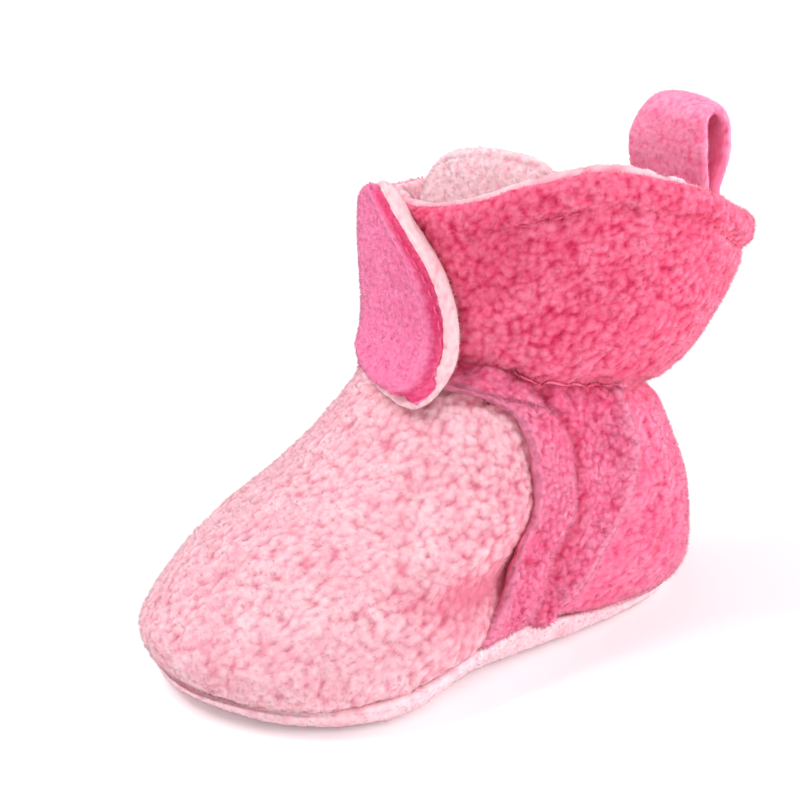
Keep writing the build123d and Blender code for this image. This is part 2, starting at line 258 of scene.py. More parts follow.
def skin_point(u, h):
    """Points on the skin: each level is two arcs, front and back, joined by straight sides."""
    tilt, y1, r1, y2, r2 = level(h)
    lean = np.arcsin((r1 - r2) / (y2 - y1))
    front, side, back = r1 * (pi / 2 + lean), (y2 - y1) * np.cos(lean), r2 * (pi / 2 - lean)
    turn = signed(u)
    way = np.abs(turn) * 2 * (front + side + back)
    angle = np.where(way < front, way / r1, pi / 2 + lean)
    angle = np.where(way > front + side, angle + (way - front - side) / r2, angle)
    straight = np.clip(way - front, 0, side)
    behind = way > front + side
    x = np.where(behind, r2, r1) * np.sin(angle) + np.where(behind, 0, -np.sin(lean) * straight)
    y = np.where(behind, y2 - r2 * np.cos(angle), y1 - r1 * np.cos(angle) + np.cos(lean) * straight)
    middle = (y1 + y2) / 2
    x = x * np.sign(turn + 1e-12)
    z = h - (y - middle) * np.sin(tilt)
    y = middle + (y - middle) * np.cos(tilt)
    # The foot is narrower at its waist, and the toe springs up a little.
    narrow = WAIST * bell(y + 8, 18) * (1 - ease(h, 4, 15))
    x = x - np.sign(x) * narrow * ease(np.abs(x), 8, 20)
    z = z + spring(y) * (1 - ease(h, 10, 30))
    return np.stack([x, y, z], axis=-1)


def girth(h):
    """Length of the way round at a height."""
    _, y1, r1, y2, r2 = level(h)
    lean = np.arcsin((r1 - r2) / (y2 - y1))
    return 2 * (r1 * (pi / 2 + lean) + (y2 - y1) * np.cos(lean) + r2 * (pi / 2 - lean))


def skin(u, h, out=0.0):
    """Points on the skin, moved outwards by out, and their outward normals."""
    u, h = np.broadcast_arrays(u, h)
    du, dh = 2e-4, 0.12
    across = skin_point(u + du, h) - skin_point(u - du, h)
    up = skin_point(u, h + dh) - skin_point(u, h - dh)
    normal = unit(np.cross(across, up))
    return skin_point(u, h) + normal * np.asarray(out, float)[..., None], normal


def rim_level(u):
    """h of the rim all the way round."""
    h = np.full(u.shape, 80.0)
    for _ in range(40):
        x, y, z = np.moveaxis(skin_point(u, h), -1, 0)
        inner_z, outer_z = at(RIM_INNER, y), at(RIM_OUTER, y)
        h = h + 0.7 * (inner_z + (outer_z - inner_z) * ease(x, -9, 9) - z)
    return h


def seam_level(u):
    """h of the seam between the upper and the sole."""
    return at(SEAM_LEVELS, np.abs(signed(u)))


def crease_level(u):
    """h of the ankle crease, where the collar folds out over the lower part."""
    return at(CREASE_LEVELS, np.abs(signed(u)))


# ---- closed fabric meshes
def spaced(length, step, edge):
    """Fractions from 0 to 1 along length, closer together at both ends."""
    ends = edge * (1 - np.cos(np.linspace(0, pi / 2, 5)))
    middle = np.linspace(edge, length - edge, max(int((length - 2 * edge) / step), 3) + 1)
    return np.concatenate([ends[:-1], middle, length - ends[-2::-1]]) / length


def grid_quads(rows, cols, start=0, flip=False, closed=False):
    """Faces between neighbouring points of a grid; closed joins its last column to its first."""
    index = start + np.arange(rows * cols).reshape(rows, cols)
    if closed:
        index = np.concatenate([index, index[:, :1]], axis=1)
    quads = np.stack([index[:-1, :-1], index[:-1, 1:], index[1:, 1:], index[1:, :-1]], axis=-1)
    quads = quads.reshape(-1, 4)
    return quads[:, ::-1] if flip else quads


def vertex_normals(points, quads):
    """The outward way at each point of a mesh."""
    corner = points[quads]
    facing = np.cross(corner[:, 2] - corner[:, 0], corner[:, 3] - corner[:, 1])
    total = np.zeros_like(points)
    for k in range(quads.shape[1]):
        for axis in range(3):
            total[:, axis] += np.bincount(quads[:, k], facing[:, axis], len(points))
    return unit(total)


def surface_normals(points):
    """The outward way at each point of a grid."""
    return unit(np.cross(np.gradient(points, axis=1), np.gradient(points, axis=0)))


def new_object(name, data):
    """An object made from its data and put into the scene."""
    thing = bpy.data.objects.new(name, data)
    bpy.context.scene.collection.objects.link(thing)
    return thing


def build(name, points, faces, nap, material):
    """A Blender object from points in millimetres, with the pile's height kept on its points.

    A face whose last two corners are the same point is a triangle.
    """
    faces = np.asarray(faces, np.int32)
    kept = np.ones(faces.shape, bool)
    kept[:, -1] = faces[:, -1] != faces[:, -2]
    corners, sizes = faces[kept], kept.sum(axis=1)
    mesh = bpy.data.meshes.new(name)
    mesh.vertices.add(len(points))
    mesh.vertices.foreach_set("co", (points * MM).ravel())
    mesh.loops.add(len(corners))
    mesh.loops.foreach_set("vertex_index", corners)
    mesh.polygons.add(len(faces))
    mesh.polygons.foreach_set("loop_start", (np.cumsum(sizes) - sizes).astype(np.int32))
    mesh.update(calc_edges=True)
    mesh.validate()
    mesh.attributes.new("nap", "FLOAT", "POINT").data.foreach_set("value", np.asarray(nap, np.float32))
    mesh.shade_smooth()
    mesh.materials.append(material)
    return new_object(name, mesh)


def edge_profile(points, soft):
    """1 inside a grid of points and 0 at its four edges, round over the width soft."""
    shape = np.ones(points.shape[:2])
    for axis in (0, 1):
        along = way_along(points, axis)
        for distance in (along, np.take(along, [-1], axis=axis) - along):
            t = np.clip(distance / soft, 0, 1)
            shape = shape * np.sqrt(np.maximum(1 - (1 - t) ** 2, 0))
    return shape


def thinned(count, every):
    """Indices from 0 to count - 1, about every so many, with both ends."""
    return np.unique(np.round(np.linspace(0, count - 1, max((count - 1) // every, 1) + 1)).astype(int))


def stitch_sides(fine, coarse, partner):
    """Triangles between a fine and a coarse edge; partner gives the coarse point of each fine one."""
    faces = []
    for k in range(len(fine) - 1):
        here, there = coarse[partner[k]], coarse[partner[k + 1]]
        faces.append((fine[k + 1], fine[k], here, here))
        if here != there:
            faces.append((fine[k + 1], here, there, there))
    return np.array(faces)


EDGE_SHARE = 0.06   # of its full thickness is left at a sheet's very edge
MIDDLE_OF_PILE = 0.45


class Fabric:
    """A closed sheet of fabric built on a grid of points of its outer face.

    Its thickness is a number or one for each point. Its edges are round over the width soft,
    its hidden face has one point in every few, and facing is the way from that to the outer.
    """

    def __init__(self, outer, thickness, soft=None, every=3, facing=None):
        rows, cols = outer.shape[:2]
        facing = surface_normals(outer) if facing is None else facing
        half = thickness / 2
        swell = np.maximum(edge_profile(outer, soft or half), EDGE_SHARE)[..., None] * half
        top = outer - facing * (half - swell)
        row, col = thinned(rows, every), thinned(cols, every)
        under = (outer - facing * (half + swell))[np.ix_(row, col)]
        count = rows * cols
        index = np.arange(count).reshape(rows, cols)
        below = count + np.arange(len(row) * len(col)).reshape(len(row), len(col))
        by_col = np.abs(np.arange(cols)[:, None] - col).argmin(axis=1)
        by_row = np.abs(np.arange(rows)[:, None] - row).argmin(axis=1)
        sides = [
            stitch_sides(index[0], below[0], by_col),
            stitch_sides(index[:, -1], below[:, -1], by_row),
            stitch_sides(index[-1, ::-1], below[-1, ::-1], (len(col) - 1 - by_col)[::-1]),
            stitch_sides(index[::-1, 0], below[::-1, 0], (len(row) - 1 - by_row)[::-1]),
        ]
        self.points = np.concatenate([top.reshape(-1, 3), under.reshape(-1, 3)])
        self.quads = np.concatenate([
            grid_quads(rows, cols), grid_quads(len(row), len(col), count, flip=True), *sides,
        ])
        self.outer_quads = (rows - 1) * (cols - 1)
        self.nap = np.zeros(len(self.points))

    def brush(self, size, amount, seed, wander=0.3, fine=0.0):
        """Raises tufts of pile all over, and keeps their height for the colour, which takes painted shade
        between the tufts and painted light on their tips.
        """
        normal = vertex_normals(self.points, self.quads)
        height = tufts(self.points, size, seed)
        height = height * (0.8 + 0.2 * drift(self.points, size * 3.1, seed + 5)[:, 0])
        if fine:
            height = height * (1 - fine) + fine * tufts(self.points, size * 0.5, seed + 9)
        wide = drift(self.points, 7.0, seed + 3)[:, 0]
        self.nap = np.clip(height, 0, 1)
        raised = (height - MIDDLE_OF_PILE) * amount + wide * wander
        self.points = self.points + normal * raised[:, None]
        return self

    def paint_light_and_shade(self, amount):
        """Paints light into the outer face's colour, or shade where the amount is below 0, by adding it to
        the pile's height there, for the colour only.
        """
        amount = amount.ravel()
        self.nap[:len(amount)] = np.clip(self.nap[:len(amount)] + amount, 0, 1)


def pile(name, fabric, count, length, width, material, seed, whole):
    """Short tapering fibres standing on a fabric, each a closed three-sided spike."""
    rng = np.random.default_rng(seed)
    quads = fabric.quads if whole else fabric.quads[:fabric.outer_quads]
    corner = fabric.points[quads]
    facing = np.cross(corner[:, 2] - corner[:, 0], corner[:, 3] - corner[:, 1])
    area = np.linalg.norm(facing, axis=1)
    pick = rng.choice(len(quads), count, p=area / area.sum())
    a, b = rng.random((2, count, 1))
    weights = [(1 - a) * (1 - b), a * (1 - b), a * b, (1 - a) * b]
    root = sum(w * corner[pick, k] for k, w in enumerate(weights))
    nap = sum(w[:, 0] * fabric.nap[quads[pick, k]] for k, w in enumerate(weights))
    out = facing[pick] / np.maximum(area[pick, None], 1e-9)
    lean = rng.normal(size=(count, 3))
    way = unit(out + 0.25 * lean + 0.35 * drift(root, 1.3, seed))
    side = unit(np.cross(way, rng.normal(size=(count, 3))))
    other = np.cross(way, side)
    long = length * (0.45 + 0.75 * rng.random((count, 1))) * (0.6 + 0.6 * nap[:, None])
    thick = width * (0.6 + 0.8 * rng.random((count, 1))) / 2
    thirds = (0, 2 * pi / 3, 4 * pi / 3)
    foot = [root - out * 0.15 + thick * (side * cos(k) + other * sin(k)) for k in thirds]
    points = np.stack([*foot, root + way * long], axis=1).reshape(-1, 3)
    base = 4 * np.arange(count)[:, None]
    faces = np.concatenate([base + np.array(t) for t in ((0, 1, 3), (1, 2, 3), (2, 0, 3), (0, 2, 1))])
    # Painted highlight and shade: each fibre is coloured darker at its foot and lighter at its tip.
    foot_nap, tip_nap = np.clip(nap * 0.8 + 0.15, 0, 1), np.clip(nap * 0.7 + 0.35, 0, 1)
    values = np.stack([foot_nap, foot_nap, foot_nap, tip_nap], axis=1).ravel()
    piece = build(name, points, faces, values, material)
    # Lit much like the fabric under them, the fibres don't show as dark specks.
    piece.data.normals_split_custom_set_from_vertices(np.repeat(unit(out + 0.5 * way), 4, axis=0))
    return piece


# ---- materials
def node_material(name):
    """A new material and its shader, which also stands for its tree of nodes below."""
    material = bpy.data.materials.new(name)
    material.use_nodes = True
    return material, material.node_tree.nodes["Principled BSDF"]


def give(socket, value):
    """Sets an input's value, or links another node's output to it."""
    if isinstance(value, bpy.types.NodeSocket):
        socket.id_data.links.new(value, socket)
    else:
        socket.default_value = value


def feed(node, **inputs):
    """Gives a node its inputs by name, with an underscore for each space."""
    for name, value in inputs.items():
        give(node.inputs[name.replace("_", " ")], value)


def new_node(shader, kind, **inputs):
    node = shader.id_data.nodes.new("ShaderNode" + kind)
    feed(node, **inputs)
    return node


def noise(shader, scale, detail=2.0, rough=0.55):
    place = shader.id_data.nodes.get("Place") or new_node(shader, "TexCoord")
    place.name = "Place"
    where = place.outputs["Object"]
    texture = new_node(shader, "TexNoise", Vector=where, Scale=scale, Detail=detail, Roughness=rough)
    return texture.outputs["Fac"]


def arithmetic(shader, kind, *values):
    node = new_node(shader, "Math")
    node.operation = kind
    for socket, value in zip(node.inputs, values):
        give(socket, value)
    return node.outputs[0]


def relief(shader, height, strength, distance):
    """Fine bumps from a texture."""
    bump = new_node(shader, "Bump", Strength=strength, Distance=distance, Height=height)
    feed(shader, Normal=bump.outputs["Normal"])


def linear(colour):
    """A colour given as 0 to 255 in sRGB, as linear light."""
    c = np.array(colour) / 255
    return (*np.where(c <= 0.04045, c / 12.92, ((c + 0.055) / 1.055) ** 2.4), 1.0)


def fleece(name, deep, middle, tip, sheen=0.3, patch=0.25, grain=0.22):
    """Brushed fleece: painted shade between the tufts and a painted highlight on their tips, from the pile's
    height, with random tone and fine crossing fibres.
    """
    material, shader = node_material(name)
    height = new_node(shader, "Attribute")
    height.attribute_name = "nap"
    tone = arithmetic(shader, "MULTIPLY_ADD", noise(shader, 2600, 3.0, 0.65), grain, height.outputs["Fac"])
    tone = arithmetic(shader, "ADD", tone, arithmetic(shader, "MULTIPLY", noise(shader, 95), patch))
    tone = arithmetic(shader, "SUBTRACT", tone, (grain + patch) / 2)
    ramp = new_node(shader, "ValToRGB", Fac=tone)
    ramp.color_ramp.interpolation = "B_SPLINE"
    stops = ramp.color_ramp.elements
    stops[0].position, stops[0].color = 0.0, linear(deep)
    stops[1].position, stops[1].color = 1.0, linear(tip)
    stops.new(0.45).color = linear(middle)
    relief(shader, noise(shader, 1900, 4.0, 0.7), 0.35, 0.0004)
    tint = linear([min(255, 0.4 * c + 160) for c in tip])
    feed(shader, Base_Color=ramp.outputs["Color"], Roughness=0.92, Specular_IOR_Level=0.15)
    feed(shader, Sheen_Weight=sheen, Sheen_Roughness=0.45, Sheen_Tint=tint)
    return material


def plain(name, colour, roughness, scale, bump, **inputs):
    """A material of one colour, broken up by fine relief and a little variation."""
    material, shader = node_material(name)
    shade = new_node(shader, "Mix")
    shade.data_type = "RGBA"
    base = np.array(linear(colour))[:3]
    feed(shade, Factor=noise(shader, scale * 0.3), A=(*base * 0.92, 1), B=(*np.minimum(base * 1.08, 1), 1))
    relief(shader, noise(shader, scale), bump, 0.0003)
    feed(shader, Base_Color=shade.outputs["Result"], Roughness=roughness, **inputs)
    return material


HOT = fleece("hot_pink_fleece", (184, 14, 62), (234, 60, 108), (255, 150, 180))
# Painted light: the quarters' and heel's fleeces are lighter copies of the hot pink fleece, standing in for
# the light on them.
QUARTER_PINK_PAINTED_LIGHTER = fleece("quarter_fleece", (210, 32, 88), (251, 92, 140), (255, 160, 192), sheen=0.15)
HEEL_PINK_PAINTED_LIGHTER = fleece("heel_fleece", (202, 30, 86), (242, 90, 136), (255, 158, 188))
BRUSHED = fleece(
    "brushed_fleece", (226, 48, 106), (244, 108, 156), (253, 158, 198), sheen=0.15, grain=0.4, patch=0.3,
)
LIGHT = fleece("light_fleece", (214, 98, 126), (242, 168, 183), (255, 220, 226))
SOLE = fleece("sole_fleece", (236, 168, 182), (248, 200, 210), (254, 226, 232), grain=0.3)
# Painted light: a lighter copy of the light fleece, brightening the tongue where it sits in shade inside the
# opening.
TONGUE_PAINTED_LIGHTER = fleece("tongue_fleece", (236, 146, 164), (250, 202, 210), (255, 232, 237))
BINDING = fleece("binding_fleece", (240, 164, 178), (250, 196, 204), (255, 224, 229))
# Painted light: a lighter copy of the brushed fleece, standing in for the light on the heel loop.
LOOP_PAINTED_LIGHTER = fleece("loop_fleece", (234, 56, 110), (255, 128, 172), (255, 184, 212), sheen=0.1)
DOTS = plain("grip_rubber", (246, 226, 228), 0.38, 900, 0.12, Coat_Weight=0.2)
FOAM_WHITE = plain("foam", (244, 240, 232), 0.9, 1600, 0.5)
WADDING = plain("wadding", (246, 244, 240), 0.95, 900, 0.6)
ELASTIC = plain("elastic", (240, 232, 230), 0.7, 2400, 0.5)
HOOKS = plain("hook_tape", (244, 190, 204), 0.5, 2500, 0.4)
LOOPS = fleece("loop_tape", (222, 110, 142), (240, 150, 176), (250, 186, 204), grain=0.6)
THREAD = plain("thread", (232, 84, 126), 0.6, 4000, 0.5)
THREAD_LIGHT = plain("light_thread", (240, 178, 192), 0.6, 4000, 0.5)


# ---- folds and seams
def near(points, path):
    """Distance of each point from a path, and how far along the path it lies, from 0 to 1."""
    flat = points.reshape(-1, 3)
    best, where = np.full(len(flat), 1e9), np.zeros(len(flat))
    for k, spot in enumerate(path):
        distance = np.sum((flat - spot) ** 2, axis=1)
        closer = distance < best
        best, where = np.where(closer, distance, best), np.where(closer, k / (len(path) - 1), where)
    return np.sqrt(best).reshape(points.shape[:-1]), where.reshape(points.shape[:-1])


def place_line(points, samples):
    """u and h along a smooth line of places on the skin."""
    u, h = line(np.array(points) * [ROUND, 1], samples).T
    return u / ROUND, h


def skin_path(points, side=1, samples=60):
    """A line of (u, h) laid on the skin of one side of the bootie."""
    u, h = place_line(points, samples)
    return skin_point(side * u, h)


def fold(points, path, width, depth, start=1.0, end=1.0):
    """Depth of a soft fold along a path, fading towards its ends."""
    distance, along = near(points, path)
    return depth * bell(distance, width) * (start + (end - start) * along)


def seam_line(points):
    """u as a function of h along a seam."""
    u, h = place_line(points, 200)
    return lambda level_h: np.interp(level_h, h, u)


quarter_u = seam_line(QUARTER_EDGE)
heel_u = seam_line(HEEL_SEAM)


def folds_of(points, table, side):
    """Depth of all the folds of a table, on one side of the bootie."""
    return sum(fold(points, skin_path(path, side), *rest) for path, *rest in table)


def folded_rows(step, low, high, places):
    """Fractions of the rows from low to high, evenly spaced along the skin at a few values of u."""
    h = np.linspace(low, high, 400)
    along = sum(way_along(skin_point(np.full(400, u), h)) for u in places) / len(places)
    wanted = spaced(along[-1], step, 1.2) * along[-1]
    return (np.interp(wanted, along, h) - low) / (high - low)


STEP = 0.42
LIGHT_STEP = STEP * 1.07


# Soft folds as (u, h), with their width, their depth, and how much of it stays at each end.
TOE_FOLD = [(0.232, 24.8), (0.222, 21.8), (0.206, 20.2), (0.179, 19.6), (0.150, 19.8), (0.125, 21)]
TOE_FOLD_WIDTH, TOE_FOLD_DEPTH = 4.2, -2.7
VAMP_FOLDS = [
    (TOE_FOLD, TOE_FOLD_WIDTH, TOE_FOLD_DEPTH, 0.8, 0.3),
    ([(0.226, 12), (0.193, 12.8), (0.157, 13.6), (0.13, 14)], 4.0, 1.2, 1, 0.2),
    ([(0.20, 29), (0.17, 28), (0.13, 29)], 6.0, 1.1, 1, 0.2),
    ([(0.104, 17), (0.140, 10.5), (0.166, 5)], 2.0, -0.75, 0.2, 1),
    ([(0.128, 16.5), (0.158, 11), (0.184, 7)], 2.0, -0.65, 0.2, 1),
    ([(0.075, 15), (0.105, 9.5), (0.130, 5)], 2.0, -0.5, 0.2, 1),
    ([(0.086, 37), (0.076, 29.8), (0.070, 23)], 5.5, -0.9, 0.5, 1),
]
QUARTER_FOLDS = [
    (TOE_FOLD, TOE_FOLD_WIDTH, 0.6 * TOE_FOLD_DEPTH, 1, 0),
    (SIDE_FOLD, 1.4, -1.6, 0.7, 1),
    ([(0.240, 14), (0.243, 25), (0.222, 34), (0.20, 41)], 2.4, 0.5),
    ([(0.276, 14), (0.283, 25), (0.272, 35)], 2.4, 0.5),
]
HEEL_FOLDS = [([(u, 14), (u + 0.012, 28), (u - 0.01, 43)], 2.2, -0.6) for u in (0.335, 0.37)]
# Grid lines are a step apart over these lengths, in millimetres.
VAMP_ACROSS = 126
QUARTER_ACROSS, QUARTER_UP = 66, 70
HEEL_ACROSS, HEEL_UP = 84, 56
COLLAR_ROUND, COLLAR_UP = 215, 40
VAMP_LOW, VAMP_TOP, VAMP_LAP = 3.8, 49.0, 4.0
QUARTER_LOW, QUARTER_ARCH, QUARTER_FRONT, QUARTER_BACK = 4.0, 42.0, 47.7, 50.2
HEEL_LOW, HEEL_TOP, HEEL_LAP = 3.2, 50.6, 2.6
BELOW_SEAM = 0.8
GATHER_COUNT, GATHER_SEED = 26, 3


def vamp(step):
    """The vamp's outer face, and the painted shade of its colour at each point."""
    t = folded_rows(step, VAMP_LOW, VAMP_TOP, (0.0, 0.1, 0.2))[:, None]
    s = spaced(VAMP_ACROSS, step, 1.2)[None, :] * 2 - 1
    h = VAMP_LOW + (VAMP_TOP - VAMP_LOW) * t + 0 * s
    u = s * (np.maximum(quarter_u(h), 0.12) + VAMP_LAP / girth(h))
    h = seam_level(u) + (VAMP_TOP - seam_level(u)) * t
    h = h - 1.4 * (1 - ease(t, 0, 0.05))
    points, normal = skin(u, h)
    edge = np.minimum(*(near(points, skin_path(QUARTER_EDGE, side, 150))[0] for side in (1, -1)))
    edge = np.where((np.abs(u) < quarter_u(h)) & (h < 47.5), edge, -edge)
    above = h - seam_level(u)
    out = -1.1 * (1 - ease(edge, -1.0, 4.0)) - 1.0 * (1 - ease(above, -1.0, 1.8))
    out = out + 0.4 * bell(above - 5, 3.5)
    for side, share in ((1, 1), (-1, 0.7)):
        out = out + share * folds_of(points, VAMP_FOLDS, side)
    # Painted shade: the colour darkens in the toe fold, and along the side beside the quarter's front edge,
    # below the ankle.
    inside = [(TOE_FOLD, 0.8 * TOE_FOLD_WIDTH, 1.0, 0.8, 0.3)]
    sunk = sum(folds_of(points, inside, side) for side in (1, -1))
    return points + normal * out[..., None], sunk + 0.3 * (1 - ease(edge, 3, 24)) * (1 - ease(h, 32, 44))


def gathers(u):
    """Uneven small pleats round the ankle, from 0 to 1."""
    turn = np.stack([np.cos(2 * pi * u), np.sin(2 * pi * u), 0 * u], axis=-1)
    uneven = 0.9 * drift(turn, 0.35, GATHER_SEED)[..., 0]
    return 0.5 + 0.5 * np.sin(2 * pi * (GATHER_COUNT * u + uneven))


def tucked(u, below):
    """How far the lower fabric goes in towards the ankle, where the collar hides its top edge."""
    return 0.8 * gathers(u) * (1 - ease(below, 1, 9)) + 1.8 * (1 - ease(below, -0.5, 3.2))


def at_sole(u, h):
    """1 at the seam with the sole, 0 just above it."""
    return 1 - ease(h - seam_level(u), -0.5, 1.8)


def quarter(side, step):
    """A quarter's outer face, and the painted light and shade of its colour at each point."""
    t = spaced(QUARTER_UP, step, 1.4)[:, None]
    s = spaced(QUARTER_ACROSS, step, 1.4)[None, :]
    # Its front edge climbs the vamp's side, bends over the arch, and runs in under the tab.
    front_h = QUARTER_LOW + (QUARTER_ARCH - QUARTER_LOW) * np.clip(t / 0.66, 0, 1)
    front_h = front_h + (QUARTER_FRONT - QUARTER_ARCH) * np.sin(np.clip((t - 0.66) / 0.24, 0, 1) * pi / 2)
    front_h = front_h + 4.0 * ease(t, 0.88, 1.0)
    back_h = QUARTER_LOW + (QUARTER_BACK - QUARTER_LOW) * t
    front_u = np.where(t < 0.9, quarter_u(front_h), -0.012)
    front_u = front_u + 0.012 * (ease(t, 0.85, 0.9) - ease(t, 0.80, 0.9))
    u = front_u * (1 - s) + (heel_u(back_h) + 0.6 / girth(back_h)) * s
    bowed = s ** (1 + 0.9 * ease(t, 0.6, 0.8))
    h = front_h * (1 - bowed) + back_h * bowed
    h = h + (seam_level(u) - BELOW_SEAM - QUARTER_LOW) * (1 - ease(h, 4, 22))
    h = h + (crease_level(u) + 0.4 - h) * ease(t, 0.82, 1.0)
    points, normal = skin(side * u, h)
    front = near(points, skin_path(QUARTER_EDGE, side, 200))[0]
    back = (heel_u(h) - u) * girth(h)
    below = crease_level(u) - h
    out = 0.3 + 1.1 * (1 - ease(front, 1.5, 12)) + 1.9 * (1 - ease(back, 0.8, 7)) * ease(below, -1, 6)
    out = out - 1.7 * at_sole(u, h) + folds_of(points, QUARTER_FOLDS, side)
    out = out * (0.3 + 0.7 * ease(u, 0.02, 0.08)) - tucked(u * side, below)
    # Painted highlight along the front edge and on the rear ridge, and painted light and shade that follow
    # the relief, over a small lift of the whole colour.
    shade = 0.08 + 0.6 * bell(front, 0.9) + 0.6 * bell(back, 1.3) + 0.08 * (out - 1.0)
    return points + normal * out[..., None], shade


def heel(step):
    """The heel panel's outer face, from one quarter round the back to the other."""
    t = spaced(HEEL_UP, step, 1.2)[:, None]
    s = spaced(HEEL_ACROSS, step, 1.2)[None, :]
    h = HEEL_LOW + (HEEL_TOP - HEEL_LOW) * t + 0 * s
    lap = HEEL_LAP / girth(h)
    u = (heel_u(h) - lap) * (1 - s) + (1 - heel_u(h) + lap) * s
    h = seam_level(u) - BELOW_SEAM + (crease_level(u) + 1.2 - seam_level(u)) * t
    points, normal = skin(u, h)
    seam = (np.minimum(u, 1 - u) - heel_u(h)) * girth(h)
    out = -1.3 * (1 - ease(seam, -1.0, 5.0)) + 0.5 * ease(seam, 5, 15) - 1.4 * at_sole(u, h)
    out = out - tucked(u, crease_level(u) - h)
    for side in (1, -1):
        out = out + folds_of(points, HEEL_FOLDS, side)
    return points + normal * out[..., None]


def collar_grid(low, high, step):
    """u and h of a grid round the collar, from level low(u) up to level high(u)."""
    u = (SLIT_U + spaced(COLLAR_ROUND, step, 1.2))[None, :]
    t = spaced(COLLAR_UP, step, 1.4)[:, None]
    return u + 0 * t, low(u) + (high(u) - low(u)) * t


def cuff_shell(step):
    """The collar's outer face, flared above its gathers, and its thickness, doubled at the hem."""
    u, h = collar_grid(lambda u: crease_level(u) - 1.2, rim_level, step)
    points, normal = skin(u, h)
    rise, below = h - crease_level(u) + 1.2, rim_level(u) - h
    out = -1.7 + 2.5 * ease(rise, 0, 4.6) - 0.8 * ease(rise, 6, 17)
    out = out - 0.6 * gathers(u) * bell(rise - 3, 5)
    # It lies flat where the tab covers it.
    bare = ease(np.abs(signed(u) + 0.02), 0.05, 0.11)
    out = np.where(rise > 4, out * (0.2 + 0.8 * bare), out)
    out = out + 0.9 * drift(points, 15.0, 11)[..., 0] * ease(rise, 6, 16) * bare
    shown = 0.35 + 0.65 * ease(u, 0.07, 0.13)
    hem = 0.9 * (1 - ease(below, 4.0, 7.0)) - 0.7 * shown * bell(below - 6.4, 1.3)
    out = out + hem * bare
    return points + normal * out[..., None], SHELL + 0.2 + 1.4 * (1 - ease(below, 3, 7))


def cuff_lining(step):
    """The face of the collar's lining that is seen, which is its inner one."""
    u, h = collar_grid(lambda u: crease_level(u) - 4, lambda u: rim_level(u) + 0.7, step)
    points, normal = skin(u, h)
    out = -5.0 + 0.5 * drift(points, 12.0, 17)[..., 0]
    return (points + normal * out[..., None])[:, ::-1]


WALL_TOP, WALL_UP = 45, 60


def inner_wall(u_low, u_high, step):
    """The seen face of the lower part's lining, from the footbed to the ankle."""
    u = (u_low + (u_high - u_low) * spaced(ROUND * (u_high - u_low), step, 1.0))[None, :]
    h = FOOTBED_TOP - 2 + (WALL_TOP + 2 - FOOTBED_TOP) * spaced(WALL_UP, step, 1.0)[:, None]
    points, normal = skin(u, h)
    return (points - normal * (SHELL + 2.5))[:, ::-1]


# ---- sole
SOLE_LEVEL = 3.4
WAIST_CURL = 3.2


def ring_places(count):
    """The values of u of a ring's points."""
    return (np.arange(count) + 0.5) / count


def sole_ring(count, z, inset=0.0, share=1.0):
    """One ring round the sole at height z, set in from the skin or shrunk towards the midline."""
    u = ring_places(count)
    z = z + 0 * u
    base = skin_point(u, np.maximum(z, SOLE_LEVEL))
    _, y1, _, y2, _ = level(np.array([SOLE_LEVEL]))
    centre = np.stack([0 * u, np.clip(base[:, 1], y1, y2), 0 * u], axis=1)
    reach = np.linalg.norm((base - centre)[:, :2], axis=1)
    ring = centre + (base - centre) * (np.maximum(1 - inset / reach, 0) * share)[:, None]
    ring[:, 2] = z + spring(ring[:, 1])
    return ring


class RingBody:
    """A closed body from its rings, listed from its top round to its underside."""

    brush = Fabric.brush

    def __init__(self, rings):
        layers, count = len(rings), len(rings[0])
        quads = [grid_quads(layers, count, closed=True)[:, ::-1]]
        j = np.arange(count // 2 - 1)
        for start, flip in ((0, True), ((layers - 1) * count, False)):
            cap = np.stack([j, j + 1, count - 2 - j, count - 1 - j], axis=1) + start
            quads.append(cap[:, ::-1] if flip else cap)
        self.points = np.concatenate(rings)
        self.quads = np.concatenate(quads)[:, ::-1]
        self.outer_quads = len(self.quads)
        self.nap = np.zeros(len(self.points))


def shrinking(count, z, inset, steps, outwards=False):
    """Rings across a flat face, from its rim to its midline, or outwards."""
    shares = np.linspace(1, 0.02, steps)[1:]
    return [sole_ring(count, z, inset, share) for share in (shares[::-1] if outwards else shares)]


def flat_body(count, inset, low, high, steps):
    """A flat pad inside the shoe, with a rounded rim."""
    rim = [(0.5, high), (0.1, high - 0.3), (0, (low + high) / 2), (0.1, low + 0.3), (0.5, low)]
    rings = shrinking(count, high, inset + 0.5, steps, outwards=True)
    rings += [sole_ring(count, z, inset + extra) for extra, z in rim]
    return RingBody(rings + shrinking(count, low, inset + 0.5, steps))


def outsole(count, steps):
    """The sole: its top face, its edge from the seam down, and its underside."""
    u = ring_places(count)
    seam = seam_level(u)
    # The underside curls up at the waist towards its edge.
    curl, bottom = WAIST_CURL * bell(np.abs(signed(u)) - 0.205, 0.045), SOLE_BOTTOM
    # How far each ring is set in, and its z.
    edge = [
        (2.4, seam - 0.2), (1.2, seam - 0.25), (0.6, seam - 0.5), (0.2, seam - 0.9),
        (0.0, 0.7 * seam + 0.4), (0.1, 0.45 * seam + 0.8),
        (0.35, np.maximum(0.2 * seam + 1.1, bottom + 1.0 + curl)),
        (0.8, bottom + 0.7 + 0.95 * curl), (1.2, bottom + 0.35 + 0.8 * curl),
        (1.6, bottom + 0.1 + 0.6 * curl), (2.4, bottom + 0.45 * curl),
        (3.6, bottom + 0.2 * curl), (5.0, bottom + 0.05 * curl),
    ]
    rings = shrinking(count, 3.0, 4.0, 8, outwards=True) + [sole_ring(count, 3.1, 4.0)]
    rings += [sole_ring(count, z, inset) for inset, z in edge]
    return RingBody(rings + shrinking(count, bottom, 5.0, steps))


